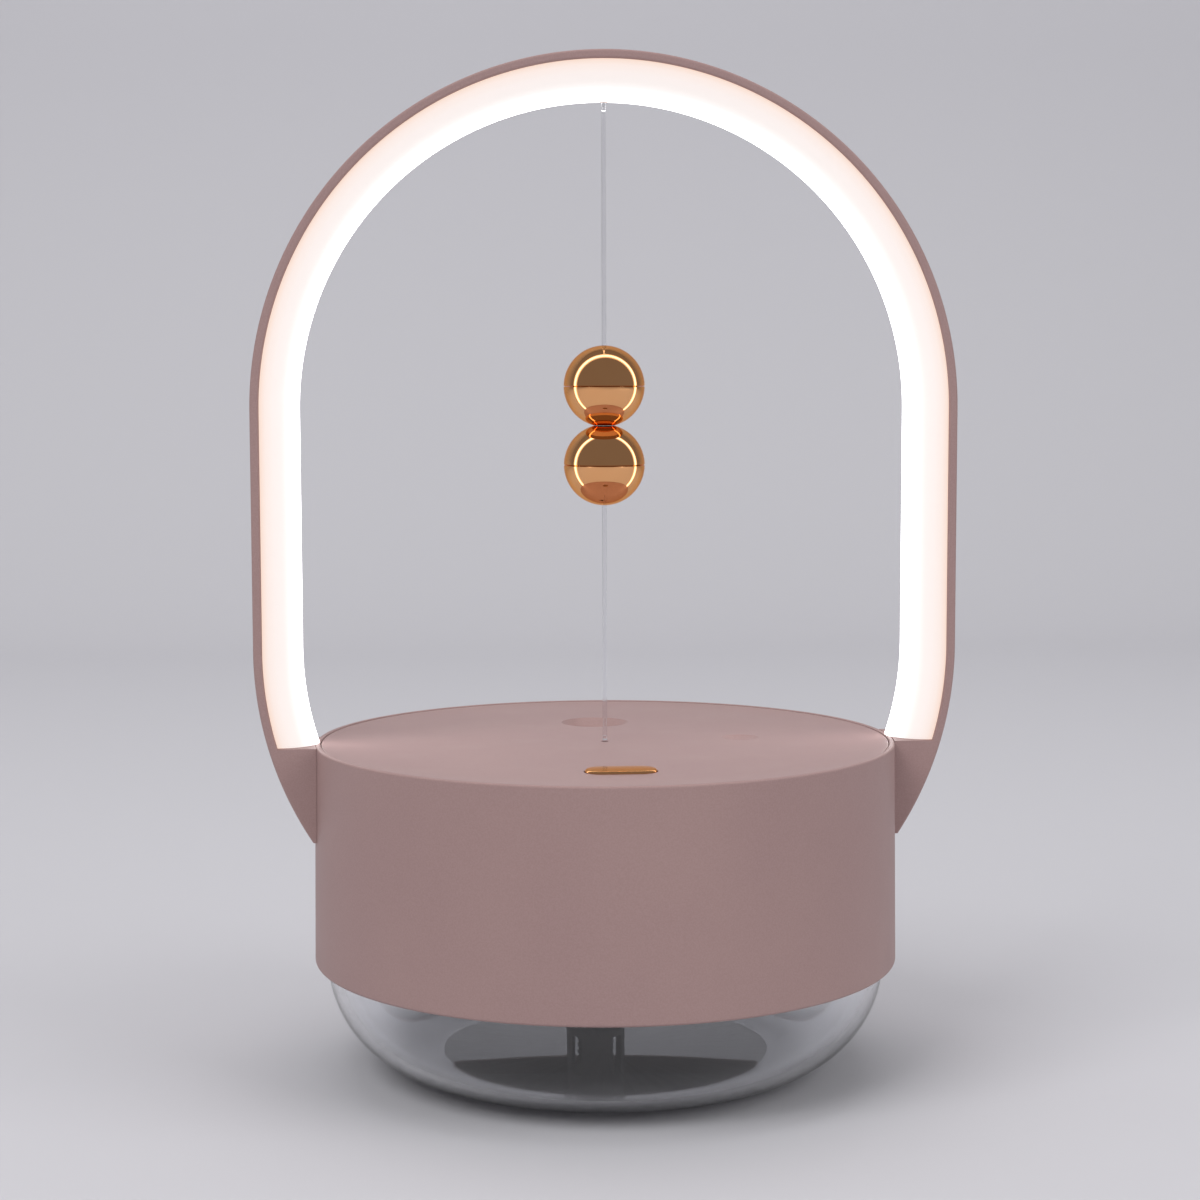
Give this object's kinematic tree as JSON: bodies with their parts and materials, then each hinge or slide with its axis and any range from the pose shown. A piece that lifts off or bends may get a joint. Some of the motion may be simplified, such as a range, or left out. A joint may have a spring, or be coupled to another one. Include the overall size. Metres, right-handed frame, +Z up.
{
  "type": "magnetic balance lamp",
  "caption": "Light hoop on a round drum; lifting the lower magnetic ball to the upper one pulls the crown switch. The clear bowl below is a mist humidifier's tank.",
  "frame": {"origin": "centre of the tank's flat underside, which stands on the table", "axes": "+Z up through the drum's axis and the hoop's crown, X across the hoop, -Y towards the push button"},
  "size_m": [0.144, 0.121, 0.2089],
  "materials": {
    "tank_clear": "clear moulded plastic, glossy",
    "body_pink": "satin moulded plastic",
    "tray_pink": "satin moulded plastic, fine texture",
    "diffuser_milk": "milky translucent, lit from behind",
    "rose_gold": "polished rose-gold plating",
    "nylon": "clear monofilament",
    "cover_grey": "plain moulded plastic",
    "silicone": "translucent white silicone",
    "steel": "zinc-plated screws",
    "spring_steel": "bright spring wire",
    "board_green": "solder mask on fibreglass board",
    "component_black": "moulded component bodies",
    "led_white": "phosphor-filled light sources",
    "strip_white": "flexible printed strip",
    "piezo_steel": "stainless disc",
    "cotton": "felted fibre rod",
    "magnet_nickel": "nickel plating",
    "contact_brass": "brass contact blades"
  },
  "bodies": {
    "tank": {"tank_bowl": "tank_clear"},
    "housing": {"body_shell": "body_pink", "top_tray": "tray_pink", "under_cover": "cover_grey", "tank_seal": "silicone", "cover_screws": "steel", "tray_screws": "steel", "hoop_frame": "body_pink", "hoop_diffuser": "diffuser_milk", "hoop_screws": "steel", "led_strip": "strip_white", "led_chips": "led_white", "switch_case": "component_black", "switch_lid": "component_black", "switch_contacts": "contact_brass", "switch_spring": "spring_steel", "string_bush": "cover_grey", "main_board": "board_green", "board_parts": "component_black", "board_screws": "steel", "tact_switch": "component_black", "inlet_board": "board_green", "power_inlet": "steel", "inlet_screws": "steel", "piezo_disc": "piezo_steel", "piezo_seal": "silicone", "piezo_retainer": "cover_grey", "retainer_screws": "steel", "wick_tube": "cover_grey", "cotton_wick": "cotton", "wick_spring": "spring_steel"},
    "power_button": {"button_cap": "rose_gold", "tact_plunger": "component_black"},
    "pull_switch": {"pull_plunger": "contact_brass", "upper_tail": "nylon"},
    "upper_bend": {"upper_knot": "nylon"},
    "upper_ball": {"upper_string": "nylon", "upper_ball_top": "rose_gold", "upper_ball_bottom": "rose_gold", "upper_magnet": "magnet_nickel", "upper_crimp": "contact_brass"},
    "lower_bend": {"lower_knot": "nylon", "lower_anchor": "contact_brass"},
    "lower_ball": {"lower_string": "nylon", "lower_ball_top": "rose_gold", "lower_ball_bottom": "rose_gold", "lower_magnet": "magnet_nickel", "lower_crimp": "contact_brass"}
  },
  "joints": [
    {"name": "housing_lift", "type": "slide", "parent": "tank", "child": "housing", "axis": [0, 0, 1], "range_m": [0, 0.045]},
    {"name": "button_press", "type": "slide", "parent": "housing", "child": "power_button", "axis": [0, 0, -1], "range_m": [0, 0.0005], "stiffness_N_per_m": 400},
    {"name": "switch_release", "type": "slide", "parent": "housing", "child": "pull_switch", "axis": [0, 0, 1], "range_m": [0, 0.0012]},
    {"name": "upper_swing_side", "type": "hinge", "parent": "pull_switch", "child": "upper_bend", "pos_m": [0, 0, 0.1978], "axis": [0, 1, 0], "range_deg": [-40, 40]},
    {"name": "upper_swing_fore", "type": "hinge", "parent": "upper_bend", "child": "upper_ball", "pos_m": [0, 0, 0.1978], "axis": [1, 0, 0], "range_deg": [-40, 40]},
    {"name": "lower_turn", "type": "hinge", "parent": "housing", "child": "lower_bend", "pos_m": [0, 0, 0.0685], "axis": [0, 0, 1], "range_deg": [-70, 70]},
    {"name": "lower_tilt", "type": "hinge", "parent": "lower_bend", "child": "lower_ball", "pos_m": [0, 0, 0.0685], "axis": [1, 0, 0], "range_deg": [-81.5, 81.5]}
  ]
}
